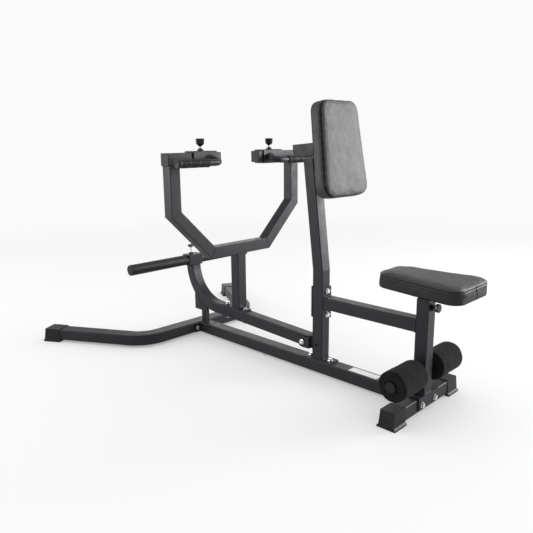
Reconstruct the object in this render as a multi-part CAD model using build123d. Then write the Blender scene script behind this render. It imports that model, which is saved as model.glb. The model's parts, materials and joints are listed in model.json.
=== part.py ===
from build123d import *
import math
import os

# Plate-loaded seated row with a chest pad. Units mm. +X is the seat end, +Y the right side, +Z up.

# stations along the machine
UPRIGHT_X = 312.1666
RAIL_REAR_X = UPRIGHT_X - 755.0
SEAT_POST_X = UPRIGHT_X + 463.0
LEVER_PIVOT_X = UPRIGHT_X - 69.0
YOKE_X = UPRIGHT_X - 486.0
HORN_X = UPRIGHT_X - 829.0
PLATE_T = 6.0
WALL = 2.5

# base rail and cross members
RAIL_W = 58.0
RAIL_H = 50.0
RAIL_Z0 = 10.0
RAIL_TOP = RAIL_Z0 + RAIL_H
STAB_W = 70.0
STAB_H = 50.0
STAB_X = RAIL_REAR_X - STAB_W / 2
STAB_VERTEX_Y = 326.0
STAB_BEND_R = 140.0
STAB_SWEEP_DEG = 60.0
STAB_LEG = 505.0
CAP_LEN = 86.0
FOOT_W = 54.0
FOOT_HALF = 196.0
FOOT_FRONT_X = SEAT_POST_X + 24.0
FOOT_REAR_X = FOOT_FRONT_X - FOOT_W
FOOT_CAP_END = 223.0

# upright
UPRIGHT_S = 50.0
BEND_Z = 438.0
LEAN_DEG = 7.0
UPRIGHT_TOP = 875.0
PIVOT_Z = 127.0
PIVOT_BOLT = 10.0
FLANGE_HALF = 70.0
BRACKET_GAP = 66.0
BRACKET_R = 22.0
BRACKET_X1 = UPRIGHT_X - 33.0

# seat frame
BEAM_Z0 = 284.0
BEAM_Z1 = 333.0
SEAT_POST_D = 48.0
SEAT_POST_TOP = 408.0
SEAT_PLATE_Z = 431.5
SEAT_TILT_DEG = 1.0
SEAT_PIN_Z = 380.0
SEAT_TOP = 491.0
SEAT_NOSE_X = UPRIGHT_X + 300.0
SEAT_REAR_X = UPRIGHT_X + 638.0

# foam rollers
ROLLER_Z = 144.0
ROLLER_R = 54.0
ROLLER_IN = 52.0
ROLLER_OUT = 202.0
ROD_R = 12.5

# lever and yoke
LEVER_S = 50.0
LEVER_X0 = UPRIGHT_X - 82.0
LEVER_Z0 = 131.0
LEVER_END = 31.0
LEVER_SLOPE = 0.0475
LEVER_BEND_R = 195.0
LEVER_BEND_X = UPRIGHT_X - 636.0
SOCKET_S = 54.0
SOCKET_HALF = 35.0
SOCKET_Z = 367.0
HORN_R = 25.0
HORN_HALF = 362.0
POST_X = YOKE_X - 3.0
POST_BOLTS = (-80.0, 37.0)
POST_FOOT = (-101.0, 54.0)
YOKE_BAR_Z0 = 443.0
YOKE_BAR_HALF = 177.0
YOKE_HALF = 380.0
YOKE_KNEE_Z = 641.0
STOP_RISE = 72.0
TOP_TUBE_Z0 = 847.0
TOP_TUBE_Z1 = 897.0
TOP_TUBE_IN = 112.0
STOP_X = UPRIGHT_X - 740.0

# handles
SLEEVE_IN = 140.0
SLEEVE_OUT = 262.0
SLEEVE_GAP = 0.4
SLEEVE_WALL = 5.5
HANDLE_R = 14.0
GRIP_R = 18.0
GRIP_X = UPRIGHT_X - 398.0
GRIP_Z = 857.0
GRIP_START = 236.0
HANDLE_TILT_DEG = 15.0
GRIP_END = 392.0
HANDLE_PIN_Y = 204.0

# chest support, measured along the sleeve from the upright's own axis
CHEST_S = 50.0
CHEST_X = UPRIGHT_X - 57.0
CHEST_Z = 905.0
CHEST_PITCH_DEG = 4.2
CHEST_REAR = -71.0
CHEST_FRONT = 71.0
PAD_BACK = 105.0
PAD_DEPTH = 58.0
PAD_LEAN_DEG = 8.5
PAD_TOP = 164.0
PAD_LOW = -184.0
PAD_TOP_HALF = 105.0
PAD_LOW_HALF = 131.0
PAD_TOP_R = 42.0
PAD_LOW_R = 47.0

LIDS = ((-1, "left"), (1, "right"))


def at(x, y, z):
    return Location((x, y, z))


def block(x0, x1, y0, y1, z0, z1):
    size = Box(x1 - x0, y1 - y0, z1 - z0)
    return at((x0 + x1) / 2, (y0 + y1) / 2, (z0 + z1) / 2) * size


def cyl_x(r, x0, x1, y, z):
    return Plane((x0, y, z), x_dir=(0, 1, 0), z_dir=(1, 0, 0)) * extrude(Circle(r), x1 - x0)


def cyl_y(r, x, y0, y1, z):
    return Plane((x, y0, z), x_dir=(1, 0, 0), z_dir=(0, 1, 0)) * extrude(Circle(r), y1 - y0)


def cyl_z(r, x, y, z0, z1):
    return at(x, y, z0) * extrude(Circle(r), z1 - z0)


def solid_bar(plane, w, h, length, r=4.0):
    return plane * extrude(RectangleRounded(w, h, r), length)


def tube(plane, w, h, length, wall=WALL, r=4.0):
    core = plane * extrude(RectangleRounded(w - 2 * wall, h - 2 * wall, r - 1.5), length)
    return solid_bar(plane, w, h, length, r) - core


def along_x(x, y, z):
    return Plane((x, y, z), x_dir=(0, 1, 0), z_dir=(1, 0, 0))


def along_y(x, y, z):
    return Plane((x, y, z), x_dir=(1, 0, 0), z_dir=(0, 1, 0))


def along_z(x, y, z):
    return Plane((x, y, z), x_dir=(1, 0, 0), z_dir=(0, 0, 1))


def hexagon(across):
    return RegularPolygon(across / 2, 6, major_radius=False)


def screw(plane, size, grip, head=0.65, nut=True, tail=3.0):
    """Hex screw with washers: plane origin on the near face, z pointing into the work."""
    washer_r = size * 1.1
    body = extrude(hexagon(size * 1.6), -size * head)
    body = chamfer(body.faces().sort_by(Axis.Z)[0].edges(), size * 0.08)
    body = at(0, 0, -1.6) * body + at(0, 0, -1.6) * extrude(Circle(washer_r), 1.6)
    reach = grip + (1.6 + size * 0.8 + tail if nut else 0)
    body += extrude(Circle(size / 2), reach)
    if nut:
        body += at(0, 0, grip) * extrude(Circle(washer_r), 1.6)
        body += at(0, 0, grip + 1.6) * extrude(hexagon(size * 1.6), size * 0.8)
    return plane * body


def facing(origin, direction):
    return Plane(origin, z_dir=direction)


def group(solids):
    return Compound(children=[s for item in solids for s in item.solids()])


def save(shape, name):
    export_step(shape, "parts/" + name + ".step")


# ---------------------------------------------------------------- base

def base_rail():
    x0 = RAIL_REAR_X + PLATE_T
    x1 = FOOT_REAR_X - PLATE_T
    rail = tube(along_x(x0, 0, RAIL_Z0 + RAIL_H / 2), RAIL_W, RAIL_H, x1 - x0)
    rear = block(RAIL_REAR_X, x0, -58, 58, RAIL_Z0 + 2, RAIL_TOP - 2)
    front = block(x1, FOOT_REAR_X, -RAIL_W / 2, RAIL_W / 2, RAIL_Z0, RAIL_TOP)
    rail = rail + rear + front
    for y in (-44, 44):
        rail -= cyl_x(5.2, RAIL_REAR_X - 1, x0 + 1, y, RAIL_Z0 + 24)
    for x in (UPRIGHT_X - 50, UPRIGHT_X + 50):
        rail -= cyl_z(5.2, x, 0, RAIL_Z0 - 1, RAIL_TOP + 1)
    return rail


def stabilizer_path():
    t = STAB_BEND_R * math.tan(math.radians(STAB_SWEEP_DEG / 2))
    s = math.sin(math.radians(STAB_SWEEP_DEG))
    c = math.cos(math.radians(STAB_SWEEP_DEG))
    z = RAIL_Z0 + STAB_H / 2
    v = STAB_VERTEX_Y
    pts = []
    for side in (-1, 1):
        tip = (STAB_X - STAB_LEG * s, side * (v + STAB_LEG * c), z)
        bend_out = (STAB_X - t * s, side * (v + t * c), z)
        bend_in = (STAB_X, side * (v - t), z)
        pts.append((tip, bend_out, bend_in))
    left, right = pts
    legs = Line(left[0], left[1])
    first = TangentArc(left[1], left[2], tangent=legs % 1)
    middle = Line(left[2], right[2])
    second = TangentArc(right[2], right[1], tangent=middle % 1)
    last = Line(right[1], right[0])
    return legs + first + middle + second + last


def rear_stabilizer():
    path = stabilizer_path()
    start = Plane(path @ 0, x_dir=(0, 0, 1), z_dir=path % 0)
    outer = sweep(start * RectangleRounded(STAB_H, STAB_W, 5), path=path)
    core = RectangleRounded(STAB_H - 2 * WALL, STAB_W - 2 * WALL, 3)
    inner = sweep(start * core, path=path)
    body = outer - inner
    for y in (-44, 44):
        body -= cyl_x(5.2, STAB_X - STAB_W, RAIL_REAR_X + 1, y, RAIL_Z0 + 24)
    return body


def leg_plane(side, distance):
    """Plane across the swept leg; z runs along the leg towards the tip, y up."""
    a = math.radians(STAB_SWEEP_DEG)
    d = (-math.sin(a), side * math.cos(a), 0)
    o = (STAB_X + distance * d[0], side * STAB_VERTEX_Y + distance * d[1], 0)
    x_dir = (-d[1] * 1.0, d[0] * 1.0, 0)
    return Plane(o, x_dir=x_dir, z_dir=d)


def cap_body(width, height, length, wall):
    """Foot cap in its own frame: x across, y up, z outward along the tube."""
    half = width / 2
    h = height
    foot = half + 9
    profile = Polyline((-foot, 0), (foot, 0), (foot, 6), (half + 3, 11), (half + 1.5, h), (-half - 1.5, h),
                       (-half - 3, 11), (-foot, 6), (-foot, 0))
    shell = extrude(make_face(profile), length)
    slope = Polyline((0, h + 1), (length + 5, h + 1), (length + 5, 8), (length - 1, 8), (length - 9, h + 1),
                     (0, h + 1))
    wedge = Plane((0, 0, 0), x_dir=(0, 0, 1), z_dir=(-1, 0, 0)) * extrude(make_face(slope), foot + 5, both=True)
    shell -= wedge
    pocket = at(0, RAIL_Z0 + (STAB_H / 2), -1) * extrude(RectangleRounded(width + 0.4, STAB_H + 0.4, 3.6), wall)
    shell -= pocket
    shell = shell.solids().sort_by(SortBy.VOLUME)[-1]
    for z in (16, 30, 44, 58):
        if z < length - 20:
            for x in (-foot, foot):
                shell -= at(x, 3, z) * Box(5, 2.4, 6)
    return shell


def rear_foot_cap(side):
    body = cap_body(STAB_W, RAIL_TOP + 2.5, CAP_LEN, 76)
    return leg_plane(side, STAB_LEG + 15 - CAP_LEN) * body


def front_foot_cap(side):
    length = 74.0
    body = cap_body(FOOT_W, RAIL_TOP + 2.5, length, FOOT_HALF - FOOT_CAP_END + length + 1)
    x = FOOT_FRONT_X - FOOT_W / 2
    return Plane((x, side * (FOOT_CAP_END - length), 0), x_dir=(-side, 0, 0), z_dir=(0, side, 0)) * body


def front_foot():
    z = RAIL_Z0 + RAIL_H / 2
    body = tube(along_y((FOOT_FRONT_X + FOOT_REAR_X) / 2, -FOOT_HALF, z), FOOT_W, RAIL_H, 2 * FOOT_HALF)
    for y in (-44, 44):
        body -= cyl_x(5.2, FOOT_REAR_X - 1, FOOT_FRONT_X + 1, y, RAIL_Z0 + 25)
    return body


def rail_label():
    return block(UPRIGHT_X + 155, UPRIGHT_X + 285, -19, 19, RAIL_TOP, RAIL_TOP + 0.4)


def stop_post():
    post = tube(along_z(STOP_X, 0, RAIL_TOP), 28, 28, STOP_RISE, r=3)
    return post + block(STOP_X - 12, STOP_X + 12, -12, 12, RAIL_TOP + STOP_RISE - 3, RAIL_TOP + STOP_RISE)


def stop_bumper():
    z = RAIL_TOP + STOP_RISE
    pad = cyl_z(13, STOP_X, 0, z, z + 12)
    return fillet(pad.edges().sort_by(Axis.Z)[-1:], 3)


# ------------------------------------------------------------- upright

def upright_post():
    a = math.radians(LEAN_DEG)
    z0 = RAIL_TOP + PLATE_T
    rise = (UPRIGHT_TOP - BEND_Z) / math.cos(a)
    path = Polyline((UPRIGHT_X, 0, z0), (UPRIGHT_X, 0, BEND_Z),
                    (UPRIGHT_X - rise * math.sin(a), 0, BEND_Z + rise * math.cos(a)))
    start = along_z(UPRIGHT_X, 0, z0)
    outer = sweep(start * RectangleRounded(UPRIGHT_S, UPRIGHT_S, 4), path=path, transition=Transition.RIGHT)
    inner_face = RectangleRounded(UPRIGHT_S - 2 * WALL, UPRIGHT_S - 2 * WALL, 2.5)
    inner = sweep(start * inner_face, path=path, transition=Transition.RIGHT)
    post = outer - inner
    top_cut = chest_plane() * Box(300, 200, CHEST_S)
    post -= top_cut
    post = post.solids().sort_by(Axis.Z)[0]
    foot = block(UPRIGHT_X - FLANGE_HALF, UPRIGHT_X + FLANGE_HALF, -29, 29, RAIL_TOP, z0)
    post += foot
    for x in (-50, 50):
        post -= cyl_z(5.2, UPRIGHT_X + x, 0, RAIL_TOP - 1, z0 + 1)
    for z in (257, 355):
        post -= cyl_x(5.2, UPRIGHT_X - 40, UPRIGHT_X + 40, 0, z)
    post -= cyl_y(5, UPRIGHT_X, -40, 40, PIVOT_Z - 1)
    return post


def chest_plane():
    """Frame on the chest sleeve axis: x forward along the sleeve, z square to it."""
    return pitched(CHEST_X, CHEST_Z, CHEST_PITCH_DEG)


def pitched(x, z, degrees):
    """Frame tipped back by the angle: x forward and up, z up and back."""
    a = math.radians(degrees)
    return Plane((x, 0, z), x_dir=(math.cos(a), 0, math.sin(a)), z_dir=(-math.sin(a), 0, math.cos(a)))


def pad_plane():
    """Frame on the back face of the chest pad: x forward out of the pad."""
    a = math.radians(CHEST_PITCH_DEG)
    return pitched(CHEST_X + PAD_BACK * math.cos(a), CHEST_Z + PAD_BACK * math.sin(a), PAD_LEAN_DEG)


def chest_sleeve():
    plane = chest_plane()
    local = Plane((CHEST_REAR, 0, 0), x_dir=(0, 1, 0), z_dir=(1, 0, 0))
    length = CHEST_FRONT - CHEST_REAR
    body = tube(local, CHEST_S, CHEST_S, length, wall=3.0)
    body -= Plane((CHEST_FRONT - 30, 0, 0), x_dir=(1, 0, 0), z_dir=(0, 1, 0)) * extrude(Circle(5.5), 60)
    return plane * body


def pivot_bracket():
    """Two rounded cheeks on a cross plate, stood off the upright by a spacer."""
    half = BRACKET_GAP / 2
    z0 = PIVOT_Z - BRACKET_R
    z1 = PIVOT_Z + BRACKET_R
    body = block(BRACKET_X1 - 5, BRACKET_X1, -half, half, z0, z1 + 10)
    body += block(BRACKET_X1, UPRIGHT_X - UPRIGHT_S / 2, -UPRIGHT_S / 2 + 1, UPRIGHT_S / 2 - 1, z0, z1 + 10)
    for y0, y1 in ((-half - 5, -half), (half, half + 5)):
        cheek = block(LEVER_PIVOT_X, BRACKET_X1, y0, y1, z0, z1)
        cheek += cyl_y(BRACKET_R, LEVER_PIVOT_X, y0, y1, PIVOT_Z)
        body += cheek - cyl_y(PIVOT_BOLT / 2 + 0.1, LEVER_PIVOT_X, y0 - 1, y1 + 1, PIVOT_Z)
    return body


def pivot_bolt():
    half = BRACKET_GAP / 2 + 5
    plane = Plane((LEVER_PIVOT_X, -half, PIVOT_Z), x_dir=(1, 0, 0), z_dir=(0, 1, 0))
    return screw(plane, PIVOT_BOLT, 2 * half)


def back_plate():
    x1 = UPRIGHT_X - UPRIGHT_S / 2
    plate = block(x1 - PLATE_T, x1, -25, 25, 242, 370)
    for z in (257, 355):
        plate -= cyl_x(5.2, x1 - 10, x1 + 2, 0, z)
    return plate


def beam_bolts():
    x = UPRIGHT_X + UPRIGHT_S / 2 + PLATE_T
    grip = UPRIGHT_S + 2 * PLATE_T
    return group([screw(facing((x, 0, z), (-1, 0, 0)), 10, grip) for z in (257, 355)])


def upright_foot_bolts():
    z = RAIL_TOP + PLATE_T
    return group([screw(facing((UPRIGHT_X + x, 0, z), (0, 0, -1)), 10, PLATE_T + RAIL_H, nut=False)
                  for x in (-50, 50)])


def rear_flange_bolts():
    x = RAIL_REAR_X + PLATE_T
    return group([screw(facing((x, y, RAIL_Z0 + 24), (-1, 0, 0)), 10, PLATE_T + STAB_W) for y in (-44, 44)])


def front_flange_bolts():
    x = FOOT_FRONT_X + 5
    return group([screw(facing((x, y, RAIL_Z0 + 25), (-1, 0, 0)), 10, FOOT_W + 5) for y in (-44, 44)])


# ---------------------------------------------------------- seat frame

def seat_frame():
    x0 = UPRIGHT_X + UPRIGHT_S / 2 + PLATE_T
    x1 = SEAT_POST_X - SEAT_POST_D / 2
    zc = (BEAM_Z0 + BEAM_Z1) / 2
    flange = block(x0 - PLATE_T, x0, -25, 25, 240, 372)
    for z in (257, 355):
        flange -= cyl_x(5.2, x0 - 10, x0 + 2, 0, z)
    beam = tube(along_x(x0, 0, zc), 50, BEAM_Z1 - BEAM_Z0, x1 - x0)
    z0 = RAIL_TOP
    post = tube(along_z(SEAT_POST_X, 0, z0), SEAT_POST_D, 50, SEAT_POST_TOP - z0)
    post -= cyl_y(ROD_R + 0.1, SEAT_POST_X, -40, 40, ROLLER_Z)
    post -= cyl_x(5.5, SEAT_POST_X, SEAT_POST_X + 40, 0, SEAT_PIN_Z)
    plate = block(FOOT_FRONT_X, FOOT_FRONT_X + 5, -65, 65, 18, RAIL_TOP + 5)
    for y in (-44, 44):
        plate -= cyl_x(5.2, FOOT_FRONT_X - 1, FOOT_FRONT_X + 6, y, RAIL_Z0 + 25)
    shelf = block(FOOT_REAR_X, FOOT_FRONT_X + 5, -65, 65, RAIL_TOP, RAIL_TOP + 5)
    body = flange + beam + (post - block(FOOT_REAR_X - 9, FOOT_FRONT_X + 9, -70, 70, 0, RAIL_TOP + 5))
    return body + plate + shelf


def roller_rod():
    return cyl_y(ROD_R, SEAT_POST_X, -ROLLER_OUT - 4, ROLLER_OUT + 4, ROLLER_Z)


def roller_end_cap(side):
    y = side * (ROLLER_OUT + 4)
    disc = Plane((SEAT_POST_X, y, ROLLER_Z), z_dir=(0, side, 0)) * extrude(Circle(19), 4)
    return fillet(disc.edges().filter_by(GeomType.CIRCLE).sort_by(Axis.Y)[(-1 if side > 0 else 0)], 1.6)


def roller_core(side):
    a = ROLLER_IN - 3
    b = ROLLER_OUT + 3
    y0, y1 = (a, b) if side > 0 else (-b, -a)
    body = cyl_y(16, SEAT_POST_X, y0, y1, ROLLER_Z)
    return body - cyl_y(ROD_R + 0.08, SEAT_POST_X, y0 - 1, y1 + 1, ROLLER_Z)


def roller_foam(side):
    y0, y1 = (ROLLER_IN, ROLLER_OUT) if side > 0 else (-ROLLER_OUT, -ROLLER_IN)
    foam = fillet(cyl_y(ROLLER_R, SEAT_POST_X, y0, y1, ROLLER_Z).edges().filter_by(GeomType.CIRCLE), 6)
    return foam - cyl_y(16, SEAT_POST_X, y0 - 1, y1 + 1, ROLLER_Z)


def tilted(shape):
    """Pitches a seat piece, modelled level, nose up about the top of the stem."""
    return shape.rotate(Axis((SEAT_POST_X, 0, SEAT_PLATE_Z), (0, 1, 0)), SEAT_TILT_DEG)


def seat_stem():
    z1 = SEAT_PLATE_Z
    stem = tube(along_z(SEAT_POST_X, 0, RAIL_TOP + 190), SEAT_POST_D - 6, 44, z1 + 1 - RAIL_TOP - 190, r=3)
    plate = block(SEAT_POST_X - 70, SEAT_POST_X + 90, -60, 60, z1, z1 + 5)
    for x, y in seat_screw_points():
        plate -= cyl_z(3.3, x, y, z1 - 1, z1 + 6)
    return stem + tilted(plate)


def seat_screw_points():
    return [(SEAT_POST_X + x, y) for x in (-55, 75) for y in (-48, 48)]


def seat_outline(margin):
    nose = SEAT_NOSE_X + margin
    rear = SEAT_REAR_X - margin
    front_half = 82.0 - margin
    rear_half = 125.0 - margin
    face = make_face(Polyline((nose, -front_half), (rear, -rear_half), (rear, rear_half), (nose, front_half),
                              (nose, -front_half)))
    corners = face.vertices().sort_by(Axis.X)
    face = fillet(corners[:2], 58 - margin)
    corners = [v for v in face.vertices() if v.X > rear - 1]
    return fillet(corners, 46 - margin)


def seat_board():
    z = SEAT_PLATE_Z + 5
    body = at(0, 0, z) * extrude(seat_outline(10), 12)
    for x, y in seat_screw_points():
        body -= cyl_z(2.6, x, y, z - 1, z + 10)
    return tilted(body)


def seat_pad():
    z = SEAT_PLATE_Z + 17
    pad = at(0, 0, z - 12) * extrude(seat_outline(0), SEAT_TOP - z + 12)
    pad = fillet(pad.faces().sort_by(Axis.Z)[-1].edges(), 9)
    return tilted(pad - at(0, 0, z - 13) * extrude(seat_outline(10), 13))


def seat_screws():
    z = SEAT_PLATE_Z
    items = [screw(facing((x, y, z), (0, 0, 1)), 5.2, 13, nut=False) for x, y in seat_screw_points()]
    return tilted(group(items))


# ---------------------------------------------------------- chest pad

def chest_stem():
    start = CHEST_REAR + 14
    local = Plane((start, 0, 0), x_dir=(0, 1, 0), z_dir=(1, 0, 0))
    stem = chest_plane() * tube(local, CHEST_S - 7, CHEST_S - 7, PAD_BACK - start + 20, r=3)
    stem -= pad_plane() * block(-5, 60, -90, 90, -90, 90)
    plate = block(-5, 0, -50, 50, -75, 65)
    for y, z in chest_screw_points():
        plate -= cyl_x(3.3, -6, 1, y, z)
    return stem + pad_plane() * plate


def chest_screw_points():
    return [(y, z) for y in (-38, 38) for z in (-62, 52)]


def chest_outline(margin):
    top = PAD_TOP - margin
    low = PAD_LOW + margin
    t = PAD_TOP_HALF - margin
    b = PAD_LOW_HALF - margin
    face = make_face(Polyline((-b, low), (b, low), (t, top), (-t, top), (-b, low)))
    corners = face.vertices().sort_by(Axis.Y)
    face = fillet(corners[-2:], PAD_TOP_R - margin)
    corners = [v for v in face.vertices() if v.Y < low + 1]
    return fillet(corners, PAD_LOW_R - margin)


def pad_frame(x):
    return Plane((x, 0, 0), x_dir=(0, 1, 0), z_dir=(1, 0, 0))


def chest_board():
    body = pad_frame(0) * extrude(chest_outline(10), 12)
    for y, z in chest_screw_points():
        body -= cyl_x(2.6, -1, 10, y, z)
    return pad_plane() * body


def chest_pad():
    pad = pad_frame(0) * extrude(chest_outline(0), PAD_DEPTH)
    pad = fillet(pad.faces().sort_by(Axis.X)[-1].edges(), 7)
    return pad_plane() * (pad - pad_frame(-1) * extrude(chest_outline(10), 13))


def chest_screws():
    items = [screw(facing((-5, y, z), (1, 0, 0)), 5.2, 13, nut=False) for y, z in chest_screw_points()]
    return pad_plane() * group(items)


def sleeve_plug(x, direction):
    """Plastic liner in a square sleeve end, with a thin flange outside."""
    ring = RectangleRounded(CHEST_S - 6, CHEST_S - 6, 2.6) - RectangleRounded(CHEST_S - 6.6, CHEST_S - 6.6, 2.2)
    lip = RectangleRounded(CHEST_S, CHEST_S, 4) - RectangleRounded(CHEST_S - 6.6, CHEST_S - 6.6, 2.2)
    frame = Plane((x, 0, 0), x_dir=(0, 1, 0), z_dir=(direction, 0, 0))
    return frame * (extrude(ring, -22) + extrude(lip, 3))


def chest_liners():
    ends = [sleeve_plug(CHEST_REAR, -1), sleeve_plug(CHEST_FRONT, 1)]
    return chest_plane() * group(ends)


# ----------------------------------------------------------- pop pins

def pin_barrel():
    body = extrude(Circle(14), 2.5) + at(0, 0, 2.5) * extrude(hexagon(22), 5.5)
    body = chamfer(body.faces().sort_by(Axis.Z)[-1].edges(), 1.2) + at(0, 0, 8) * extrude(Circle(7), 2)
    body = body - at(0, 0, -1) * extrude(Circle(6.8), 9.2)
    return body - at(0, 0, 8) * extrude(Circle(4.08), 3)


def pin_spring():
    coil = Helix(pitch=2.4, height=5.0, radius=5.7, center=(0, 0, 1.4))
    wire = Plane(coil @ 0, z_dir=coil % 0) * Circle(0.7)
    return sweep(wire, path=coil)


def pin_shaft(depth, top):
    body = at(0, 0, -depth) * extrude(Circle(4.0), depth + top)
    return chamfer(body.edges().filter_by(GeomType.CIRCLE).sort_by(Axis.Z)[0], 1.0)


def pin_knob(base, height, r):
    """Faceted knob on a cone that runs down to the shaft."""
    cone = height * 0.3
    body = loft([at(0, 0, base) * RegularPolygon(6.5, 8), at(0, 0, base + cone) * RegularPolygon(r * 0.92, 8)])
    body += loft([at(0, 0, base + cone) * RegularPolygon(r * 0.92, 8),
                  at(0, 0, base + height) * RegularPolygon(r, 8)])
    body = fillet(body.faces().sort_by(Axis.Z)[-1].edges(), 2.0)
    return body - at(0, 0, base - 1) * extrude(Circle(4.0), 9)


def pop_pin(plane, depth, base, height, r):
    shaft = plane * pin_shaft(depth, base + 8)
    return plane * pin_barrel(), plane * pin_spring(), shaft, plane * pin_knob(base, height, r)


def handle_pin_plane(side):
    top = TOP_TUBE_Z1 + SLEEVE_GAP + SLEEVE_WALL
    return Plane((YOKE_X, side * HANDLE_PIN_Y, top), x_dir=(1, 0, 0), z_dir=(0, 0, 1))


def seat_pin_plane():
    return Plane((SEAT_POST_X + SEAT_POST_D / 2, 0, SEAT_PIN_Z), x_dir=(0, 1, 0), z_dir=(1, 0, 0))


def chest_pin_plane():
    local = Plane((CHEST_FRONT - 30, CHEST_S / 2, 0), x_dir=(1, 0, 0), z_dir=(0, 1, 0))
    return chest_plane() * local


# -------------------------------------------------------------- lever

def lever_solid(w, h):
    """Lever path: straight from the pivot, one large bend, upright to the horn socket."""
    slope = math.atan(LEVER_SLOPE)
    ux, uz = -math.cos(slope), math.sin(slope)
    start = (LEVER_X0 + LEVER_END * math.cos(slope), 0, LEVER_Z0 - LEVER_END * math.sin(slope))
    run = (LEVER_X0 - LEVER_BEND_X) / math.cos(slope)
    tangent = (LEVER_X0 + run * ux, 0, LEVER_Z0 + run * uz)
    nx, nz = uz, -ux
    cx = tangent[0] + LEVER_BEND_R * nx
    cz = tangent[2] + LEVER_BEND_R * nz
    end = (cx - LEVER_BEND_R, 0, cz)
    first = Line(start, tangent)
    second = TangentArc(tangent, end, tangent=first % 1)
    third = Line(end, (end[0], 0, end[2] + 30))
    path = first + second + third
    face = Plane(start, x_dir=(0, 1, 0), z_dir=(ux, 0, uz)) * RectangleRounded(w, h, 4 if h > 47 else 2.5)
    return sweep(face, path=path)


def lever_arm():
    body = lever_solid(LEVER_S, LEVER_S) - lever_solid(LEVER_S - 2 * WALL, LEVER_S - 2 * WALL)
    body -= block(-900, 0, -50, 50, SOCKET_Z - SOCKET_S / 2, SOCKET_Z + 200)
    reach = BRACKET_GAP / 2 - 0.3
    bore = cyl_y(15, LEVER_PIVOT_X, -reach, reach, PIVOT_Z)
    body = body + bore - cyl_y(10, LEVER_PIVOT_X, -40, 40, PIVOT_Z)
    for x in [POST_X + dx for dx in POST_BOLTS]:
        body -= cyl_z(5.2, x, 0, 100, 220)
    return body


def pivot_bushing(side):
    reach = BRACKET_GAP / 2 - 0.1
    y0, y1 = (3, reach) if side > 0 else (-reach, -3)
    body = cyl_y(10, LEVER_PIVOT_X, y0, y1, PIVOT_Z)
    return body - cyl_y(PIVOT_BOLT / 2 + 0.06, LEVER_PIVOT_X, y0 - 1, y1 + 1, PIVOT_Z)


def lever_gusset():
    x0 = STOP_X - 48
    x1 = STOP_X + 40
    z0 = RAIL_TOP + 64
    box = block(x0, x1, -25, 25, z0, RAIL_TOP + 150)
    hollow = block(x0 + 4, x1 + 1, -21, 21, z0 - 1, RAIL_TOP + STOP_RISE + 12.3)
    shell = box - hollow - lever_solid(LEVER_S + 40, LEVER_S)
    return shell.solids().sort_by(Axis.Z)[0]


def horn_socket():
    z = SOCKET_Z
    body = tube(along_y(HORN_X, -SOCKET_HALF, z), SOCKET_S, SOCKET_S, 2 * SOCKET_HALF, wall=2.0)
    return body + socket_nut() - cyl_z(5.1, HORN_X, -8, z, z + 40)


def horn_tube():
    root = SOCKET_HALF + 5.2
    body = cyl_y(HORN_R - 0.5, HORN_X, -root, root, SOCKET_Z)
    for y0, y1 in ((-HORN_HALF + 5, -root), (root, HORN_HALF - 5)):
        body += cyl_y(HORN_R, HORN_X, y0, y1, SOCKET_Z)
    return body - cyl_y(HORN_R - 3, HORN_X, -HORN_HALF, HORN_HALF, SOCKET_Z)


def horn_liner(side):
    frame = Plane((HORN_X, side * SOCKET_HALF, SOCKET_Z), x_dir=(1, 0, 0), z_dir=(0, side, 0))
    lip = extrude(RectangleRounded(SOCKET_S, SOCKET_S, 4) - Circle(HORN_R - 0.5), 5)
    return frame * lip


def horn_end_cap(side):
    frame = Plane((HORN_X, side * (HORN_HALF - 5), SOCKET_Z), x_dir=(1, 0, 0), z_dir=(0, side, 0))
    cap = extrude(Circle(HORN_R - 0.6), 5) + extrude(Circle(HORN_R - 3), -16)
    cap = fillet(cap.edges().filter_by(GeomType.CIRCLE).sort_by(Axis.Z)[-1], 2)
    return frame * (cap - at(0, 0, -17) * extrude(Circle(HORN_R - 6), 17))


def horn_screw():
    top = SOCKET_Z + SOCKET_S / 2
    return cyl_z(5, HORN_X, -8, SOCKET_Z + HORN_R, top + 40)


def horn_screw_handle():
    top = SOCKET_Z + SOCKET_S / 2
    hub = cyl_z(8, HORN_X, -8, top + 34, top + 43) - cyl_z(5, HORN_X, -8, top, top + 40)
    bar = cyl_y(6.5, HORN_X, -8 - 15, -8 + 15, top + 43)
    bar = fillet(bar.edges().filter_by(GeomType.CIRCLE), 2.5)
    return hub + bar - cyl_z(5, HORN_X, -8, top, top + 40)


def socket_nut():
    top = SOCKET_Z + SOCKET_S / 2
    return at(HORN_X, -8, top) * (extrude(hexagon(17), 8) - extrude(Circle(5.1), 9))


# --------------------------------------------------------------- yoke

def lever_top(x):
    return LEVER_Z0 + LEVER_S / 2 + LEVER_SLOPE * (LEVER_X0 - x)


def post_foot_plane():
    slope = math.degrees(math.atan(LEVER_SLOPE))
    z = LEVER_Z0 + LEVER_SLOPE * (LEVER_X0 - POST_X)
    lift = LEVER_S / 2 / math.cos(math.radians(slope))
    return Plane((POST_X, 0, z + lift), x_dir=(math.cos(math.radians(slope)), 0, -math.sin(math.radians(slope))),
                 z_dir=(math.sin(math.radians(slope)), 0, math.cos(math.radians(slope))))


def yoke_post():
    foot = post_foot_plane() * block(POST_FOOT[0], POST_FOOT[1], -25, 25, 0, PLATE_T)
    for x in [POST_X + dx for dx in POST_BOLTS]:
        foot -= cyl_z(5.2, x, 0, 100, 260)
    z1 = YOKE_BAR_Z0 - PLATE_T
    post = tube(along_z(POST_X, 0, 150), 50, 50, z1 - 150)
    post -= post_foot_plane() * block(-200, 200, -60, 60, -200, PLATE_T)
    plate = block(POST_X - 30, POST_X + 30, -28, 28, z1, z1 + PLATE_T)
    return foot + post.solids().sort_by(SortBy.VOLUME)[-1] + plate


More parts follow.
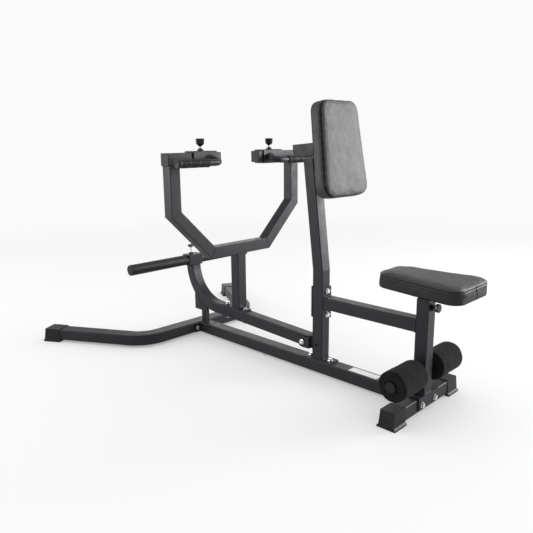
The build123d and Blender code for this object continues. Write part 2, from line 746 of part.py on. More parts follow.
def post_bolts():
    items = []
    for x in [POST_X + dx for dx in POST_BOLTS]:
        top = lever_top(x) + PLATE_T
        items.append(screw(facing((x, 0, top + 1.0), (0, 0, -1)), 10, PLATE_T + LEVER_S + 2.2))
    return group(items)


def yoke_profile(inset):
    s = 50.0
    k = s * math.tan(math.radians(22.5))
    i = inset
    ki = i * math.tan(math.radians(22.5))
    h = YOKE_HALF
    b = YOKE_BAR_HALF
    z0 = YOKE_BAR_Z0
    zk = YOKE_KNEE_Z
    top = TOP_TUBE_Z0
    right_out = [(b - ki, z0 + i), (h - i, zk + ki), (h - i, top)]
    right_in = [(h - s + i, top), (h - s + i, zk + k - ki), (b - k + ki, z0 + s - i)]
    right = right_out + right_in
    left = [(-y, z) for y, z in reversed(right)]
    pts = right + left + [right[0]]
    return make_face(Polyline(*pts))


def yoke_frame():
    """Bottom bar, two diagonals, two arms and the two top tubes, welded."""
    frame = Plane((YOKE_X - 25, 0, 0), x_dir=(0, 1, 0), z_dir=(1, 0, 0))
    shell = frame * extrude(yoke_profile(0), 50)
    long_edges = shell.edges().filter_by(Axis.X, reverse=True).filter_by(lambda e: abs(e.center().Z - TOP_TUBE_Z0) > 1)
    shell = fillet(long_edges, 3)
    core = frame * at(0, 0, WALL) * extrude(yoke_profile(WALL), 50 - 2 * WALL)
    body = shell - core
    zc = (TOP_TUBE_Z0 + TOP_TUBE_Z1) / 2
    for y0, y1 in ((-YOKE_HALF - 1, -TOP_TUBE_IN - 5), (TOP_TUBE_IN + 5, YOKE_HALF + 1)):
        body += tube(along_y(YOKE_X, y0, zc), 50, 50, y1 - y0)
    return body


def tube_end_cap(side, y, outward):
    zc = (TOP_TUBE_Z0 + TOP_TUBE_Z1) / 2
    frame = Plane((YOKE_X, side * y, zc), x_dir=(1, 0, 0), z_dir=(0, side * outward, 0))
    lip = extrude(RectangleRounded(50, 50, 4), 5)
    lip = chamfer(lip.faces().sort_by(Axis.Z)[-1].edges(), 1.2)
    plug = extrude(RectangleRounded(45, 45, 2.5) - RectangleRounded(39, 39, 2), -14)
    return frame * (lip + plug)


# ------------------------------------------------------------ handles

def handle_path(side):
    """Hook out of the sleeve face, hairpin inwards, then straight outwards as the grip."""
    r = 33.0
    cy = GRIP_START - 38
    cx = GRIP_X - r
    turn = math.radians(150)
    tilt = math.radians(HANDLE_TILT_DEG)
    leave = (cx + r * math.cos(turn), cy - r * math.sin(turn))
    into = (leave[0] - 20.0, leave[1] + 34.6)

    def point(x, y):
        back = GRIP_X - x
        return (GRIP_X - back * math.cos(tilt), side * y, GRIP_Z + back * math.sin(tilt))

    first = Line(point(GRIP_X, GRIP_END - 4), point(GRIP_X, cy))
    second = TangentArc(point(GRIP_X, cy), point(*leave), tangent=first % 1)
    third = Line(point(*leave), point(*into))
    return first + second + third


def handle_sleeve(side):
    inner = 50 + 2 * SLEEVE_GAP
    outer = inner + 2 * SLEEVE_WALL
    zc = (TOP_TUBE_Z0 + TOP_TUBE_Z1) / 2
    y0, y1 = (SLEEVE_IN, SLEEVE_OUT) if side > 0 else (-SLEEVE_OUT, -SLEEVE_IN)
    frame = along_y(YOKE_X, y0, zc)
    body = solid_bar(frame, outer, outer, y1 - y0, 5)
    path = handle_path(side)
    start = Plane(path @ 0, z_dir=path % 0)
    hook = sweep(start * Circle(HANDLE_R), path=path)
    hook -= block(YOKE_X - 60, YOKE_X + outer / 2 - 1.5, -500, 500, 700, 1000)
    body += hook
    body -= frame * extrude(RectangleRounded(inner, inner, 3), y1 - y0)
    return body - cyl_z(4.6, YOKE_X, side * HANDLE_PIN_Y, zc, zc + 60)


def handle_grip(side):
    a = GRIP_START
    b = GRIP_END - 4
    y0, y1 = (a, b) if side > 0 else (-b, -a)
    body = cyl_y(GRIP_R, GRIP_X, y0, y1, GRIP_Z)
    end = side * (GRIP_END - 4)
    cap = Plane((GRIP_X, end, GRIP_Z), z_dir=(0, side, 0)) * extrude(Circle(GRIP_R - 0.5), 5)
    body = body - cyl_y(HANDLE_R, GRIP_X, y0 - 1, y1 + 1, GRIP_Z) + cap
    outer = body.edges().filter_by(GeomType.CIRCLE).sort_by(Axis.Y)[(-1 if side > 0 else 0)]
    return fillet(outer, 2)


# ------------------------------------------------------------- output

def main():
    os.makedirs("parts", exist_ok=True)
    parts = {
        "base_rail": base_rail(),
        "rear_stabilizer": rear_stabilizer(),
        "front_foot": front_foot(),
        "rail_label": rail_label(),
        "stop_post": stop_post(),
        "stop_bumper": stop_bumper(),
        "upright_post": upright_post(),
        "chest_sleeve": chest_sleeve(),
        "chest_sleeve_liners": chest_liners(),
        "pivot_bracket": pivot_bracket(),
        "pivot_bolt": pivot_bolt(),
        "back_plate": back_plate(),
        "upright_bolts": group([beam_bolts(), upright_foot_bolts()]),
        "base_bolts": group([rear_flange_bolts(), front_flange_bolts()]),
        "seat_frame": seat_frame(),
        "roller_rod": roller_rod(),
        "seat_stem": seat_stem(),
        "seat_board": seat_board(),
        "seat_pad": seat_pad(),
        "seat_screws": seat_screws(),
        "chest_stem": chest_stem(),
        "chest_board": chest_board(),
        "chest_pad": chest_pad(),
        "chest_screws": chest_screws(),
        "lever_arm": lever_arm(),
        "lever_gusset": lever_gusset(),
        "horn_socket": horn_socket(),
        "horn_tube": horn_tube(),
        "horn_lock_screw": horn_screw(),
        "horn_screw_handle": horn_screw_handle(),
        "yoke_post": yoke_post(),
        "lever_bolts": post_bolts(),
        "yoke_frame": yoke_frame(),
    }
    pins = [("seat", seat_pin_plane(), 2.6, 11, 16, 16.5), ("chest", chest_pin_plane(), 3.1, 18, 28, 16.0)]
    for side, word in LIDS:
        parts["roller_core_" + word] = roller_core(side)
        parts["roller_foam_" + word] = roller_foam(side)
        parts["handle_sleeve_" + word] = handle_sleeve(side)
        parts["handle_grip_" + word] = handle_grip(side)
        pins.append(("handle_" + word, handle_pin_plane(side), 3.1, 18.5, 31.5, 18.0))
    for name, plane, depth, base, height, r in pins:
        barrel, spring, shaft, knob = pop_pin(plane, depth, base, height, r)
        parts[name + "_pin_barrel"] = group([barrel, spring])
        parts[name + "_pin_shaft"] = shaft
        parts[name + "_pin_knob"] = knob
    parts["pivot_bushings"] = group([pivot_bushing(side) for side, word in LIDS])
    parts["rear_foot_caps"] = group([rear_foot_cap(side) for side, word in LIDS])
    parts["front_foot_caps"] = group([front_foot_cap(side) for side, word in LIDS])
    parts["roller_end_caps"] = group([roller_end_cap(side) for side, word in LIDS])
    parts["horn_liners"] = group([horn_liner(side) for side, word in LIDS])
    parts["horn_end_caps"] = group([horn_end_cap(side) for side, word in LIDS])
    caps = [tube_end_cap(side, YOKE_HALF + 1, 1) for side, word in LIDS]
    caps += [tube_end_cap(side, TOP_TUBE_IN + 5, -1) for side, word in LIDS]
    parts["yoke_tube_caps"] = group(caps)
    for name, shape in parts.items():
        save(shape, name)


main()
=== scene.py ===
import json
import math

import bpy
import numpy as np
from mathutils import Matrix, Vector, noise
from mathutils.bvhtree import BVHTree


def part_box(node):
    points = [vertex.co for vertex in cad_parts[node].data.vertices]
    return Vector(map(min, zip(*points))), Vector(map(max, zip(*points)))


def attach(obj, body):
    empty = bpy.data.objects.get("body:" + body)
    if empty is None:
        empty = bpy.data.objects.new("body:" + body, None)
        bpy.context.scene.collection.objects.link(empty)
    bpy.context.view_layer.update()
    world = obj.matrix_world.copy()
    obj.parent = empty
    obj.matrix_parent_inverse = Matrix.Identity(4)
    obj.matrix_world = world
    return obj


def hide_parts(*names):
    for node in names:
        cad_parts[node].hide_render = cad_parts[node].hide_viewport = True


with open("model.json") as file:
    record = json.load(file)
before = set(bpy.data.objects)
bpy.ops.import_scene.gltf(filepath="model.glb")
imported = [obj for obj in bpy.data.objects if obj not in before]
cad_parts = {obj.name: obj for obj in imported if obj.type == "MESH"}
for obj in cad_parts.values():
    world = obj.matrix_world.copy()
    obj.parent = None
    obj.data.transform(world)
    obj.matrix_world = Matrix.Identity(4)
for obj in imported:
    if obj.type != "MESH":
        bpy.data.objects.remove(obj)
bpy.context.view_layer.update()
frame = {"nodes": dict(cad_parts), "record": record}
nodes = frame["nodes"]

# Stations and angles of the CAD model, in metres, repeated from its driving dimensions.
UX = 0.3121666
SEAT_POST_X = UX + 0.463
YOKE_X = UX - 0.486
HORN_X = UX - 0.829
LEVER_X0 = UX - 0.082
STOP_X = UX - 0.740
RAIL_REAR_X = UX - 0.755
RAIL_TOP = 0.060
LEVER_Z0 = 0.131
LEVER_SLOPE = 0.0475
HALF_TUBE = 0.025
SEAT_BEAM_Z = 0.3085
UPRIGHT_LEAN = math.radians(7.0)
UPRIGHT_BEND_Z = 0.438
SLEEVE_X = UX - 0.057
SLEEVE_Z = 0.905
STEM_TO_BOARD = 0.105
PLATE_THICK = 0.005
CHEST_PITCH = math.radians(4.2)
PAD_LEAN = math.radians(8.5)
SEAT_TILT = math.radians(1.0)
SEAT_PLATE_Z = 0.4315
HORN_SEAT_Z = 0.340
YOKE_LOW_Z = 0.443
YOKE_TOP_Z = 0.847
YOKE_ARM_Y = 0.355
GRIP_X = UX - 0.398
GRIP_Z = 0.857
HANDLE_TILT = math.radians(15)
ROLLER_Z = 0.144
SIDES = ((-1, "left"), (1, "right"))

AXIS_X, AXIS_Y, AXIS_Z = np.eye(3)
STEM_AXIS = np.array((math.cos(CHEST_PITCH), 0, math.sin(CHEST_PITCH)))
PAD_FORWARD = np.array((math.cos(PAD_LEAN), 0, math.sin(PAD_LEAN)))
PAD_RISE = np.array((-math.sin(PAD_LEAN), 0, math.cos(PAD_LEAN)))
CHEST_ORIGIN = np.array((SLEEVE_X, 0, SLEEVE_Z)) + STEM_TO_BOARD * STEM_AXIS


# ------------------------------------------------------------- camera

CAMERA_POSITION = (1.6973, -1.7154, 0.9390)
CAMERA_ANGLES = (44.624, 12.509, -0.557)
CAMERA_LENS = 38.114


def make_camera():
    azimuth, elevation, roll = (math.radians(d) for d in CAMERA_ANGLES)
    back = Vector((math.sin(azimuth) * math.cos(elevation),
                   -math.cos(azimuth) * math.cos(elevation),
                   math.sin(elevation)))
    level = Vector((math.cos(azimuth), math.sin(azimuth), 0))
    upright = back.cross(level)
    right = level * math.cos(roll) + upright * math.sin(roll)
    up = upright * math.cos(roll) - level * math.sin(roll)
    data = bpy.data.cameras.new("camera")
    data.sensor_width = 36.0
    data.lens = CAMERA_LENS
    data.clip_end = 60.0
    cam = bpy.data.objects.new("camera", data)
    cam.matrix_world = Matrix((*zip(right, up, back, CAMERA_POSITION), (0, 0, 0, 1)))
    bpy.context.scene.collection.objects.link(cam)
    bpy.context.scene.camera = cam


make_camera()


# ------------------------------------------------------- mesh helpers

def to_mesh(name, verts, faces):
    """A smooth-shaded object."""
    mesh = bpy.data.meshes.new(name)
    mesh.from_pydata([tuple(map(float, v)) for v in verts], [],
                     [tuple(map(int, f)) for f in faces])
    mesh.validate()
    mesh.polygons.foreach_set("use_smooth", [True] * len(mesh.polygons))
    obj = bpy.data.objects.new(name, mesh)
    bpy.context.scene.collection.objects.link(obj)
    return obj


def grid(points, close_rows=False, cap=False):
    """Faces between rows of points, each row a closed loop; cap shuts the first and last."""
    rows, cols = points.shape[:2]
    verts = list(points.reshape(-1, 3))
    faces = []
    for i in range(rows if close_rows else rows - 1):
        j = (i + 1) % rows
        for k in range(cols):
            m = (k + 1) % cols
            faces.append((i * cols + k, i * cols + m, j * cols + m, j * cols + k))
    if cap:
        for row, flip in ((0, True), (rows - 1, False)):
            centre = len(verts)
            verts.append(points[row].mean(0))
            for k in range(cols):
                a, b = row * cols + k, row * cols + (k + 1) % cols
                faces.append((centre, b, a) if flip else (centre, a, b))
    return verts, faces


def merge(parts):
    """Joins several (verts, faces) pairs into one."""
    verts, faces = [], []
    for v, f in parts:
        base = len(verts)
        verts += list(v)
        faces += [tuple(i + base for i in face) for face in f]
    return verts, faces


def ramp(points):
    """Distance along a path at each of its points."""
    steps = np.linalg.norm(np.diff(points, axis=0), axis=1)
    return np.concatenate(((0,), np.cumsum(steps)))


def tube(path, radius, up, sides, closed=True):
    """A round section swept along a path; radius may vary along it."""
    path = np.asarray(path, float)
    n = len(path)
    radius = np.broadcast_to(np.asarray(radius, float), (n,))
    up = np.asarray(up, float) / np.linalg.norm(up)
    if closed:
        tangent = np.roll(path, -1, 0) - np.roll(path, 1, 0)
    else:
        tangent = np.gradient(path, axis=0)
    tangent /= np.linalg.norm(tangent, axis=1, keepdims=True)
    side = np.cross(tangent, up)
    side /= np.linalg.norm(side, axis=1, keepdims=True)
    rise = np.cross(side, tangent)
    angle = np.linspace(0, 2 * math.pi, sides, endpoint=False)
    ring = (np.cos(angle)[None, :, None] * side[:, None]
            + np.sin(angle)[None, :, None] * rise[:, None])
    points = path[:, None] + ring * radius[:, None, None]
    return grid(points, close_rows=closed, cap=not closed)


def lathe(profile, centre, side, segments, dent=0.0, seed=0.0):
    """Turns a closed profile of (y, r) about a line along Y; dent adds soft hollows outside."""
    bore_limit = 0.03
    cx, cz = centre
    angle = np.linspace(0, 2 * math.pi, segments, endpoint=False)
    rows = []
    for y, r in profile:
        row = []
        for a in angle:
            where = Vector((math.cos(a) * 2.2, math.sin(a) * 2.2, y * 26 + seed))
            d = dent * noise.noise(where) if r > bore_limit else 0
            row.append((cx + (r + d) * math.cos(a), side * y, cz + (r + d) * math.sin(a)))
        rows.append(row)
    points = np.array(rows)
    if side > 0:
        points = points[:, ::-1]
    return points


def rounded(corners, radii, margin, step):
    """Evenly spaced points on a convex outline with round corners, moved inwards by margin."""
    smallest_radius = 0.002
    arc_steps = 12
    pts = [np.array(c, float) for c in corners]
    n = len(pts)
    centre = sum(pts) / n
    lines = []
    for i in range(n):
        a, b = pts[i], pts[(i + 1) % n]
        d = (b - a) / np.linalg.norm(b - a)
        normal = np.array((-d[1], d[0]))
        if np.dot(centre - a, normal) < 0:
            normal = -normal
        lines.append((a + normal * margin, d))
    moved = []
    for i in range(n):
        (p, d), (q, e) = lines[i - 1], lines[i]
        t = np.linalg.solve(np.array((d, -e)).T, q - p)[0]
        moved.append(p + d * t)
    out = []
    for i in range(n):
        p, before, after = moved[i], moved[i - 1], moved[(i + 1) % n]
        r = max(radii[i] - margin, smallest_radius)
        u = (before - p) / np.linalg.norm(before - p)
        v = (after - p) / np.linalg.norm(after - p)
        half = math.acos(float(np.clip(np.dot(u, v), -1, 1))) / 2
        bisector = (u + v) / np.linalg.norm(u + v)
        c = p + bisector * r / math.sin(half)
        start = p + u * r / math.tan(half)
        end = p + v * r / math.tan(half)
        a0 = math.atan2(*(start - c)[::-1])
        a1 = math.atan2(*(end - c)[::-1])
        turn = (a1 - a0 + math.pi) % (2 * math.pi) - math.pi
        for k in range(arc_steps + 1):
            a = a0 + turn * k / arc_steps
            out.append(c + r * np.array((math.cos(a), math.sin(a))))
    out = np.array(out)
    closed = np.vstack((out, out[:1]))
    lengths = ramp(closed)
    count = int(round(lengths[-1] / step / 4)) * 4
    s = np.linspace(0, lengths[-1], count, endpoint=False)
    return np.column_stack([np.interp(s, lengths, closed[:, k]) for k in (0, 1)])


# ---------------------------------------------------------- materials

def add(tree, kind, inputs=None, **props):
    n = tree.nodes.new("ShaderNode" + kind)
    for key, value in props.items():
        setattr(n, key, value)
    for key, value in (inputs or {}).items():
        if isinstance(value, bpy.types.NodeSocket):
            tree.links.new(value, n.inputs[key])
        else:
            n.inputs[key].default_value = value
    return n


def mix(tree, factor, a, b):
    n = add(tree, "Mix", data_type="RGBA")
    for index, value in ((0, factor), (6, a), (7, b)):
        if isinstance(value, bpy.types.NodeSocket):
            tree.links.new(value, n.inputs[index])
        elif index == 0:
            n.inputs[0].default_value = value
        else:
            n.inputs[index].default_value = (*value, 1.0)
    return n.outputs[2]


def span(tree, value, low, high, to_low=0.0, to_high=1.0):
    """Maps low..high to to_low..to_high, clamped."""
    n = add(tree, "MapRange", {"Value": value, "From Min": low, "From Max": high,
                               "To Min": to_low, "To Max": to_high})
    return n.outputs["Result"]


def math_node(tree, operation, a, b):
    return add(tree, "Math", {0: a, 1: b}, operation=operation).outputs[0]


class Look:
    """One procedural material, in object space, whose lengths are real."""

    def __init__(self, name, **sockets):
        self.mat = bpy.data.materials.new(name)
        self.mat.use_nodes = True
        self.tree = self.mat.node_tree
        self.bsdf = self.tree.nodes["Principled BSDF"]
        for key, value in sockets.items():
            self.bsdf.inputs[key.replace("_", " ")].default_value = value
        self.coord = add(self.tree, "TexCoord").outputs["Object"]
        self.normal = None

    def noise(self, size, detail=3.0, rough=0.55, stretch=None, distortion=0.0):
        vector = self.coord
        if stretch:
            vector = add(self.tree, "Mapping", {"Vector": vector, "Scale": stretch}).outputs[0]
        return add(self.tree, "TexNoise",
                   {"Vector": vector, "Scale": 1.0 / size, "Detail": detail,
                    "Roughness": rough, "Distortion": distortion}).outputs["Fac"]

    def cells(self, size, feature="F1"):
        return add(self.tree, "TexVoronoi", {"Vector": self.coord, "Scale": 1.0 / size},
                   feature=feature).outputs["Distance"]

    def bump(self, height, depth, strength):
        inputs = {"Height": height, "Distance": depth, "Strength": strength}
        if self.normal:
            inputs["Normal"] = self.normal
        self.normal = add(self.tree, "Bump", inputs).outputs[0]
        self.tree.links.new(self.normal, self.bsdf.inputs["Normal"])

    def colour(self, socket):
        self.tree.links.new(socket, self.bsdf.inputs["Base Color"])

    def rough(self, socket):
        self.tree.links.new(socket, self.bsdf.inputs["Roughness"])

    def edges(self, radius):
        """1 on sharp outer edges and 0 on flats."""
        bevel = add(self.tree, "Bevel", {"Radius": radius}, samples=4).outputs[0]
        true = add(self.tree, "NewGeometry").outputs["Normal"]
        dot = add(self.tree, "VectorMath", {0: bevel, 1: true},
                  operation="DOT_PRODUCT").outputs["Value"]
        return span(self.tree, dot, 0.98, 0.84)


def powder_coat():
    m = Look("powder_coat", Specular_IOR_Level=0.28, Specular_Tint=(0.97, 0.94, 1.0, 1.0))
    t = m.tree
    patch = m.noise(0.09, 4)
    base = mix(t, span(t, patch, 0.35, 0.68),
               (0.0060, 0.0054, 0.0073), (0.0098, 0.0089, 0.0116))
    speck = span(t, m.noise(0.0016, 2), 0.60, 0.72)
    base = mix(t, math_node(t, "MULTIPLY", speck, 0.35), base, (0.050, 0.047, 0.053))
    # Lighter sharp edges: partly rubbed paint, partly a painted highlight along the tube edges.
    rub_and_highlight = math_node(t, "MULTIPLY", m.edges(0.0014),
                    span(t, m.noise(0.012, 5), 0.42, 0.70, 0.15, 0.75))
    m.colour(mix(t, rub_and_highlight, base, (0.085, 0.082, 0.090)))
    m.rough(span(t, m.noise(0.035, 5, 0.62), 0.30, 0.72, 0.40, 0.54))
    m.bump(m.noise(0.0021, 2, 0.5), 0.00034, 0.55)
    m.bump(m.noise(0.0006, 2, 0.6), 0.00010, 0.50)
    return m.mat


def vinyl(name, tone, specular, wall_shade=1.0, wall_rough=0.0):
    """Upholstery vinyl; the walls of a cushion, seen away from its face, can be rougher and can
    get painted shade, a darker colour.
    """
    m = Look(name, Specular_IOR_Level=specular)
    t = m.tree
    # tone scales the whole colour, so copies of one vinyl are painted lighter or darker for light
    # and shade.
    low = [c * tone for c in (0.0105, 0.0098, 0.0113)]
    high = [c * tone for c in (0.0160, 0.0148, 0.0162)]
    base = mix(t, span(t, m.noise(0.05, 4), 0.32, 0.70), low, high)
    pore_size = 0.0011
    pores = span(t, m.cells(pore_size, "DISTANCE_TO_EDGE"), 0.0, 0.10)
    base = mix(t, pores, [c * 0.6 for c in low], base)
    upward = add(t, "SeparateXYZ", {0: add(t, "TexCoord").outputs["Normal"]}).outputs["Z"]
    wall = span(t, upward, 0.55, 0.25)
    # Painted shade: where the normal turns from up to sideways, the walls get a darker base
    # colour.
    if wall_shade < 1:
        base = mix(t, wall, base, [c * wall_shade for c in low])
    m.colour(base)
    rough = span(t, m.noise(0.028, 5, 0.6), 0.30, 0.72, 0.50, 0.60)
    if wall_rough:
        rough = math_node(t, "ADD", rough, math_node(t, "MULTIPLY", wall, wall_rough))
    m.rough(rough)
    m.bump(m.noise(0.045, 3, 0.5, distortion=0.6), 0.0016, 0.09)
    m.bump(span(t, m.cells(pore_size, "DISTANCE_TO_EDGE"), 0.0, 0.16), 0.00011, 0.75)
    m.bump(m.noise(0.00045, 2), 0.00005, 0.4)
    return m.mat


def foam():
    m = Look("roller_foam", Specular_IOR_Level=0.10, Sheen_Weight=0.03, Sheen_Roughness=0.6)
    t = m.tree
    base = mix(t, span(t, m.noise(0.03, 5), 0.34, 0.70),
               (0.0040, 0.0039, 0.0044), (0.0080, 0.0077, 0.0084))
    cell = m.cells(0.0013)
    m.colour(mix(t, span(t, cell, 0.15, 0.62), (0.004, 0.004, 0.004), base))
    m.rough(span(t, m.noise(0.02, 4), 0.30, 0.75, 0.84, 0.97))
    m.bump(m.noise(0.009, 4, 0.6), 0.0010, 0.35)
    m.bump(cell, 0.00050, 0.85)
    return m.mat


def plastic(name, low, high, rough, depth, specular):
    m = Look(name, Specular_IOR_Level=specular)
    t = m.tree
    base = mix(t, span(t, m.noise(0.03, 4), 0.32, 0.72), low, high)
    edge = math_node(t, "MULTIPLY", m.edges(0.0010),
                     span(t, m.noise(0.008, 4), 0.4, 0.7, 0.1, 0.6))
    m.colour(mix(t, edge, base, tuple(3.2 * c + 0.012 for c in high)))
    m.rough(span(t, m.noise(0.016, 5, 0.65), 0.28, 0.74, rough - 0.07, rough + 0.09))
    m.bump(m.noise(0.0012, 3, 0.6), depth, 0.6)
    return m.mat


def rubber():
    m = Look("grip_rubber", Specular_IOR_Level=0.22)
    t = m.tree
    base = mix(t, span(t, m.noise(0.014, 5), 0.30, 0.72),
               (0.0070, 0.0067, 0.0073), (0.0135, 0.0130, 0.0140))
    dust = span(t, m.noise(0.0022, 3), 0.58, 0.74, 0.0, 0.35)
    m.colour(mix(t, dust, base, (0.046, 0.045, 0.048)))
    m.rough(span(t, m.noise(0.010, 4), 0.3, 0.74, 0.34, 0.52))
    m.bump(m.noise(0.0011, 3, 0.6), 0.00022, 0.6)
    return m.mat


def metal(name, low, high, rough, specks=0.0):
    m = Look(name, Metallic=1.0)
    t = m.tree
    base = mix(t, span(t, m.noise(0.007, 5, 0.6), 0.30, 0.72), low, high)
    if specks:
        spots = span(t, m.noise(0.0016, 3), 0.60, 0.72, 0.0, specks)
        base = mix(t, spots, base, tuple(0.42 * c for c in low))
    m.colour(base)
    m.rough(span(t, m.noise(0.004, 5, 0.6), 0.30, 0.74, rough * 0.75, rough * 1.35))
    m.bump(m.noise(0.0010, 3, 0.6), 0.00005, 0.5)
    return m.mat


def plywood():
    m = Look("plywood", Specular_IOR_Level=0.35)
    t = m.tree
    grain = m.noise(0.006, 6, 0.62, stretch=(0.10, 1.0, 1.0), distortion=1.2)
    base = mix(t, span(t, grain, 0.36, 0.66),
               (0.285, 0.170, 0.085), (0.470, 0.320, 0.180))
    plies = add(t, "TexWave", {"Vector": m.coord, "Scale": 110.0, "Distortion": 0.6,
                               "Detail": 2.0}, bands_direction="Z").outputs["Fac"]
    m.colour(mix(t, span(t, plies, 0.35, 0.75, 0.0, 0.28), base, (0.16, 0.095, 0.050)))
    m.rough(span(t, m.noise(0.012, 4), 0.3, 0.7, 0.62, 0.82))
    m.bump(grain, 0.0004, 0.5)
    return m.mat


def label():
    """A blank printed strip: a pale face and one thin grey frame line."""
    m = Look("label", Specular_IOR_Level=0.5)
    t = m.tree
    inset = 0.004
    half_line = 0.0007
    low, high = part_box("rail_label")
    xyz = add(t, "SeparateXYZ", {0: m.coord}).outputs
    lines = []
    for axis in (0, 1):
        centre = (low[axis] + high[axis]) / 2
        half = (high[axis] - low[axis]) / 2 - inset
        away = add(t, "Math", {0: math_node(t, "SUBTRACT", xyz[axis], centre)},
                   operation="ABSOLUTE").outputs[0]
        lines.append(math_node(t, "SUBTRACT", away, half))
    outside = math_node(t, "MAXIMUM", lines[0], lines[1])
    frame_line = add(t, "Math", {0: outside, 1: 0.0, 2: half_line},
                     operation="COMPARE").outputs[0]
    base = mix(t, span(t, m.noise(0.02, 4), 0.3, 0.7),
               (0.70, 0.69, 0.69), (0.80, 0.79, 0.79))
    m.colour(mix(t, math_node(t, "MULTIPLY", frame_line, 0.7), base, (0.10, 0.10, 0.11)))
    m.rough(span(t, m.noise(0.006, 3), 0.3, 0.7, 0.32, 0.46))
    m.bump(m.noise(0.0016, 2), 0.00006, 0.4)
    return m.mat


POWDER = powder_coat()
# Painted light: the chest cushion's vinyl has its colour raised 1.5 times, a lit copy of the
# seat's vinyl.
LIT_VINYL = vinyl("vinyl", 1.5, 0.46)
# The seat's cover: its walls are darkened as painted shade.
SEAT_VINYL_SHADED_WALLS = vinyl("seat_vinyl_shaded_walls", 1.0, 0.50, wall_shade=0.45, wall_rough=0.30)
# Painted shade: the chest piping's vinyl is far darker than the cover, standing in for the seam
# groove's shade.
PIPING_SHADE_VINYL = vinyl("piping_shade_vinyl", 0.30, 0.12)
FOAM = foam()
RUBBER = rubber()
PLASTIC = plastic("black_plastic", (0.0055, 0.0051, 0.0058), (0.0105, 0.0098, 0.0106), 0.46,
                  depth=0.00010, specular=0.2)
KNOB = plastic("knob_plastic", (0.0070, 0.0070, 0.0075), (0.0120, 0.0118, 0.0125), 0.14,
               depth=0.00004, specular=0.22)
ZINC = metal("zinc_steel", (0.60, 0.61, 0.64), (0.78, 0.78, 0.79), 0.26, specks=0.35)
CHROME = metal("pin_steel", (0.66, 0.66, 0.68), (0.80, 0.80, 0.82), 0.12)
PULL_PIN = metal("dark_pin", (0.100, 0.100, 0.106), (0.170, 0.168, 0.175), 0.22,
                 specks=0.2)
OXIDE = metal("black_steel", (0.030, 0.030, 0.034), (0.060, 0.058, 0.062), 0.36,
              specks=0.3)
WOOD = plywood()
BRONZE = metal("bronze", (0.50, 0.34, 0.17), (0.66, 0.48, 0.26), 0.34, specks=0.5)
LABEL = label()
BY_SLOT = {"frame_coat": POWDER, "black_plastic": PLASTIC, "knob_plastic": KNOB,
           "zinc_steel": ZINC, "pin_steel": CHROME, "black_steel": OXIDE,
           "grip_rubber": RUBBER, "roller_foam": FOAM, "pad_vinyl": LIT_VINYL,
           "board_wood": WOOD, "bronze": BRONZE, "label_white": LABEL}

for part in frame["record"]["subparts"]:
    mesh = nodes[part["node"]].data
    if not mesh.materials:
        mesh.materials.append(None)
    pulled = part["node"].endswith("_pin_shaft")
    look = PULL_PIN if pulled else BY_SLOT[part["material_slot"]]
    for index in range(len(mesh.materials)):
        mesh.materials[index] = look


def place(obj, body, slot, look, *stands_for):
    """Gives a visual piece its look and body, and hides the nodes it stands for; slot is not
    used.
    """
    obj.data.materials.append(look)
    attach(obj, body)
    if stands_for:
        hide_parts(*stands_for)
    return obj


# --------------------------------------------------------------- pads

BOARD_HOLD = 0.0085     # the cover below this height is fixed to the board
SEAT_WIDE_END = UX + 0.638
SEAT_NARROW_END = UX + 0.300


def smoothstep(value, low, high):
    t = np.clip((value - low) / (high - low), 0, 1)
    return t * t * (3 - 2 * t)


def vertices(obj, what):
    """The vertices' "co" or "normal" as an (n, 3) array."""
    flat = np.zeros(len(obj.data.vertices) * 3)
    obj.data.vertices.foreach_get(what, flat)
    return flat.reshape(-1, 3)


def set_vertices(obj, points):
    obj.data.vertices.foreach_set("co", points.ravel())
    obj.data.update()


def wrapped(values, reach):
    """values with the last and first few repeated at its ends, for smoothing round a loop."""
    return np.concatenate((values[-reach:], values, values[:reach]))


def bell(value, half):
    return np.exp(-(value / half) ** 2)


def noise_of(points):
    return np.array([noise.noise(Vector(p)) for p in points])


class Pad:
    """An upholstered board: u and v lie in its face, w runs from its back to the cushion."""

    def __init__(self, name, corners, radii, depth, origin, u, v, w):
        self.name, self.corners, self.radii, self.depth = name, corners, radii, depth
        self.matrix = np.column_stack([np.array(a, float) for a in (u, v, w)])
        self.origin = np.array(origin, float)

    def outline(self, margin, step=0.004):
        return rounded(self.corners, self.radii, margin, step)

    def world(self, points):
        return np.asarray(points, float) @ self.matrix.T + self.origin

    def local(self, points):
        return (np.asarray(points, float) - self.origin) @ self.matrix

    def ring(self, margin, w, count=200):
        loop = self.outline(margin)
        t = np.linspace(0, len(loop), count, endpoint=False)
        closed = np.vstack((loop, loop[:1]))
        index = np.arange(len(closed))
        uv = np.column_stack([np.interp(t, index, closed[:, k]) for k in (0, 1)])
        return np.column_stack((uv, np.full(count, w)))

    def start_shape(self, edge, crown, inset):
        """A slightly small cushion: straight wall, round top edge and a low crown."""
        top = self.depth - crown
        rows = [self.ring(inset, w) for w in (0.0012, 0.010, top - edge)]
        for k in range(1, 6):
            a = math.radians(90) * k / 5
            rows.append(self.ring(inset + edge * (1 - math.cos(a)),
                                  top - edge + edge * math.sin(a)))
        for k in range(1, 5):
            rise = crown * (1 - (1 - k / 5) ** 2) * 0.8
            rows.append(self.ring(inset + edge + 0.011 * k, top + rise))
        points = np.array([self.world(r) for r in rows])
        verts, faces = grid(points, cap=True)
        return to_mesh(self.name, verts, faces)

    def groove(self, obj, profile):
        """Moves the cover along its own normal by profile(local points)."""
        co = vertices(obj, "co")
        set_vertices(obj, co + vertices(obj, "normal") * profile(self.local(co))[:, None])


def apply_modifiers(obj):
    graph = bpy.context.evaluated_depsgraph_get()
    mesh = bpy.data.meshes.new_from_object(obj.evaluated_get(graph))
    obj.modifiers.clear()
    obj.data = mesh


